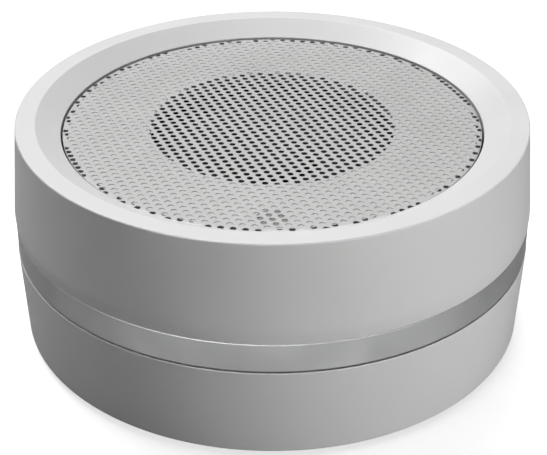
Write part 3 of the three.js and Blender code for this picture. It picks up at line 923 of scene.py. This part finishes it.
def boost_inductor():
    """Ferrite spool."""
    flange_r, waist_r = 3.4, 2.8
    low, high = span("boost_inductor")
    centre = middle("boost_inductor")
    turned("boost_inductor", fillet([
        (0, low.z), (flange_r, low.z, 0.2), (flange_r, low.z + 0.7, 0.2), (waist_r, low.z + 0.9, 0.1),
        (waist_r, high.z - 0.9, 0.1), (flange_r, high.z - 0.7, 0.2), (flange_r, high.z, 0.2),
        (0, high.z),
    ], 4), 48, centre.x, centre.y)


def antenna():
    """Wire that rises from the board and bends along the drum's wall."""
    wire_r = 0.45
    path = [(-1, 31, 24), (-1, 31, 26.6), (2, 31, 28), (9, 29.6, 28.2), (15, 27, 28.2)]
    place(as_object(sweep(smooth_path(path, 14), wire_r, 14)), "antenna")


def radio_module():
    """Screening can with six dimples in its lid."""
    low, high = span("radio_module")
    x, y = middle("radio_module").xy
    can = as_object(block(high.x - low.x, high.y - low.y, low.z, high.z, x, y, 0.6))
    dimple_r, dimple_depth = 0.4, 0.15
    pitch_x, pitch_y = 4.8, 3.4
    dimples = [disc(dimple_r, high.z - dimple_depth, high.z + 1, x + pitch_x * i, y + pitch_y * j, steps=20)
               for i in (-1, 0, 1) for j in (-1, 1)]
    place(carve(can, dimples), "radio_module")


# ================================================================ base: tamper rod and cells
def tamper_guide():
    """Tube over the rod's collar; the rod passes through its roof."""
    inner, outer, rod_hole_r = 3.2, 4.3, 1.9
    low, high = span("tamper_guide")
    roof = high.z - 1
    turned("tamper_guide", fillet([
        (inner, low.z, 0.1), (outer, low.z, 0.3), (outer, high.z, 0.4), (rod_hole_r, high.z, 0.3),
        (rod_hole_r, roof, 0.1), (inner, roof, 0.2),
    ], 4), 48, 0, ROD_Y)


def tamper_rod():
    """Rod with a rounded tip and a collar that its spring pushes on."""
    rod_r, collar_r = 1.5, 2.8
    collar_low, collar_high = 4.7, 5.8
    low, high = span("tamper_rod")
    turned("tamper_rod", fillet([
        (0, low.z), (rod_r, low.z, 0.7), (rod_r, collar_low, 0.1), (collar_r, collar_low, 0.2),
        (collar_r, collar_high, 0.2), (rod_r, collar_high, 0.1), (rod_r, high.z, 0.3), (0, high.z),
    ]), 48, 0, ROD_Y)


def tamper_spring():
    """Coil between the guide's roof and the rod's collar, which stretches as the rod comes out."""
    coil_r, wire_r, turns = 2.3, 0.25, 5
    low, high = span("tamper_spring")
    coil = helix(coil_r, coil_r, high.z - low.z - 2 * wire_r, turns, 32)
    spring = as_object(moved(sweep(coil, wire_r, 10), at(0, ROD_Y, low.z + wire_r)))
    place(spring, "tamper_spring", rides=False)
    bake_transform(spring)


def cell_outline():
    """A cell from its flat end at height 0 to the tip of its button."""
    base_r, button_r = 3.4, 1.9
    shoulder = CELL_LENGTH - 1.0
    return fillet([
        (0, 0.25), (base_r, 0.25, 0.2), (3.9, 0, 0.2), (CELL_R - 0.35, 0, 0.3), (CELL_R, 0.5, 0.3),
        (CELL_R, shoulder - 0.5, 0.4), (CELL_R - 0.45, shoulder, 0.2), (3.4, shoulder - 0.15, 0.1),
        (2.5, shoulder, 0.1), (button_r, shoulder + 0.1, 0.1), (button_r, CELL_LENGTH, 0.35),
        (0, CELL_LENGTH),
    ])


def battery_cell(node, way):
    """One cell whose button points along way, 1 or -1, on X; its ends are bare steel."""
    sleeve_start, sleeve_end = 0.5, CELL_LENGTH - 1.3
    low, high = span(node)
    start = low.x if way > 0 else high.x
    turn = Matrix.Rotation(way * math.pi / 2, 4, "Y")
    seat = at(start, middle(node).y, middle(node).z)

    def bare(face):
        return not sleeve_start <= (face.x - start) * way <= sleeve_end

    place(as_object(moved(revolve(cell_outline(), 64), seat @ turn)), node, second=STEEL, chosen=bare)


def coil_contact(node, cell, way):
    """Conical spring that presses on a cell's flat end."""
    wide_r, narrow_r, length, turns, wire_r = 3.4, 2, 4.6, 3, 0.3
    low, high = span(node)
    start = (low.x if way > 0 else high.x) + wire_r * way
    turn = Matrix.Rotation(way * math.pi / 2, 4, "Y")
    coil = sweep(helix(wide_r, narrow_r, length, turns), wire_r, 10)
    place(as_object(moved(coil, at(start, middle(cell).y, middle(cell).z) @ turn)), node)


def battery_cells():
    """Four cells side by side, each turned the other way from its neighbour."""
    for row in range(4):
        cell = f"battery_cell_{row + 1}"
        way = 1 if row % 2 == 0 else -1
        battery_cell(cell, way)
        coil_contact(f"coil_contact_{row + 1}", cell, way)


def battery_tray():
    """Block with a trough for each cell and a pocket for each contact."""
    trough_half = 25.6
    pocket_length, pocket_width, pocket_x = 5.6, 11.1, 22.8
    low, high = span("battery_tray")
    tray = as_object(block(high.x - low.x, high.y - low.y, low.z, high.z, 0, 0, 1.2))
    removed = []
    for row in range(4):
        cell = middle(f"battery_cell_{row + 1}")
        trough = spun(disc(CELL_R + GAP, -trough_half, trough_half, steps=64), 90, "Y")
        removed.append(moved(trough, at(0, cell.y, cell.z)))
        for side in (-1, 1):
            removed.append(block(pocket_length, pocket_width, low.z + 0.8, 20, side * pocket_x, cell.y, 0.3))
    place(carve(tray, removed), "battery_tray")


# ================================================================ studio
FLOOR_GLOW = 0.7                # brightness of the floor and of what lies beyond it, seen directly
WAIST = Vector((0, 0, 0.018))   # middle of the locking ring, in metres


def camera():
    """Long lens in front of the status light, looking down at the drum."""
    pitch, lens, shift = 31.11, 95.4, 0.002
    back, above_rim = 198.0, 98.6
    data = bpy.data.cameras.new("camera")
    data.sensor_width = 36
    data.lens = lens
    data.shift_x = shift
    view = bpy.data.objects.new("camera", data)
    bpy.context.scene.collection.objects.link(view)
    view.location = (0, -back * MM, (HEIGHT + above_rim) * MM)
    view.rotation_euler = (math.radians(90 - pitch), 0, 0)
    bpy.context.scene.camera = view


def softbox(name, width, height, watts, location, target):
    """A rectangular light, in metres, that faces a target and isn't seen itself."""
    data = bpy.data.lights.new(name, "AREA")
    data.shape = "RECTANGLE"
    data.size = width
    data.size_y = height
    data.energy = watts
    lamp = bpy.data.objects.new(name, data)
    bpy.context.scene.collection.objects.link(lamp)
    lamp.location = location
    lamp.rotation_euler = (Vector(target) - Vector(location)).to_track_quat("-Z", "Y").to_euler()
    lamp.visible_camera = False
    return lamp


def bounced_rays(tree):
    """1 for light that bounces between surfaces, 0 for what is seen directly."""
    rays = tree.nodes.new("ShaderNodeLightPath")
    bounced = tree.nodes.new("ShaderNodeMath")
    bounced.operation = "MAXIMUM"
    tree.links.new(rays.outputs["Is Diffuse Ray"], bounced.inputs[0])
    tree.links.new(rays.outputs["Is Glossy Ray"], bounced.inputs[1])
    return bounced.outputs["Value"]


def surroundings():
    """The floor's own glow beyond its far edge, without lighting the object."""
    world = bpy.data.worlds.new("studio")
    bpy.context.scene.world = world
    world.use_nodes = True
    tree = world.node_tree
    background = tree.nodes["Background"]
    background.inputs["Color"].default_value = (1, 1, 1, 1)
    strength = tree.nodes.new("ShaderNodeMath")
    strength.operation = "SUBTRACT"
    strength.use_clamp = True
    strength.inputs[0].default_value = FLOOR_GLOW
    tree.links.new(bounced_rays(tree), strength.inputs[1])
    tree.links.new(strength.outputs["Value"], background.inputs["Strength"])


def floor():
    """Pale floor that looks white but throws little light back at the walls."""
    half_width = 6.0
    seen_grey, thrown_grey = 0.55, 0.15
    sheet = bmesh.new()
    bmesh.ops.create_grid(sheet, x_segments=8, y_segments=8, size=half_width)
    material, shader = new_material("floor", (seen_grey, seen_grey, seen_grey), 0.9)
    tree = material.node_tree
    bounced = bounced_rays(tree)
    shader.inputs["Emission Strength"].default_value = 1
    sockets = (("Base Color", seen_grey, thrown_grey), ("Emission Color", FLOOR_GLOW, 0.0))
    for socket, seen, thrown in sockets:
        mix = tree.nodes.new("ShaderNodeMix")
        mix.data_type = "RGBA"
        mix.inputs["A"].default_value = (seen, seen, seen, 1)
        mix.inputs["B"].default_value = (thrown, thrown, thrown, 1)
        tree.links.new(bounced, mix.inputs["Factor"])
        tree.links.new(mix.outputs["Result"], shader.inputs[socket])
    plane = as_object(sheet)
    plane.data.materials.append(material)
    plane.name = "floor"


def overhead_lights():
    """Large soft boxes above the object, at (x, y) in metres."""
    size, height, target = 0.5, 0.9, (0, 0, 0.02)
    boxes = {"overhead": (0, 0, 2.2), "rear": (0, 0.6, 5.4), "rear_left": (-0.5, 0.5, 6.3)}
    for name, (x, y, watts) in boxes.items():
        softbox(name, size, size, watts, (x, y, height), target)


def low_lights():
    """Strips at the height of the ring; azimuth 0 is the front and 90 the right."""
    distance, width, height = 0.35, 0.12, 0.03
    for azimuth, watts in ((-100, 0.11), (25, 0.04), (55, 0.51)):
        x, y = polar(distance, azimuth - 90)
        softbox(f"low_{azimuth}", width, height, watts, (x, y, WAIST.z), WAIST)


def gloss_lights():
    """Boxes that only show as gloss, given as azimuth, elevation and watts."""
    distance, above_floor, width, height = 0.6, 0.07, 0.25, 0.12
    for azimuth, elevation, watts in ((-35, 4, 3.2), (0, 4, 2.3), (30, 4, 2.8), (-35, 55, 3.3)):
        out, up = polar(distance, elevation)
        x, y = polar(out, azimuth - 90)
        location = (x, y, above_floor + up)
        gloss = softbox(f"gloss_{azimuth}_{elevation}", width, height, watts, location, WAIST)
        gloss.visible_diffuse = False


def studio():
    surroundings()
    overhead_lights()
    low_lights()
    gloss_lights()
    floor()
    bpy.context.scene.view_settings.view_transform = "Standard"


# ================================================================ build
camera()
for entry in frame["record"]["subparts"]:
    finish_surface(frame["nodes"][entry["node"]], [SLOT_MATERIAL[entry["material_slot"]]], CAD_CREASE)
upper_shell()
locking_ring()
lower_shell()
rubber_feet()
grille()
backing_plate()
light_guide()
status_led()
speaker()
head_chassis()
chassis_screws()
setup_button()
capacitors()
boost_inductor()
antenna()
radio_module()
tamper_guide()
tamper_rod()
tamper_spring()
battery_cells()
battery_tray()
studio()
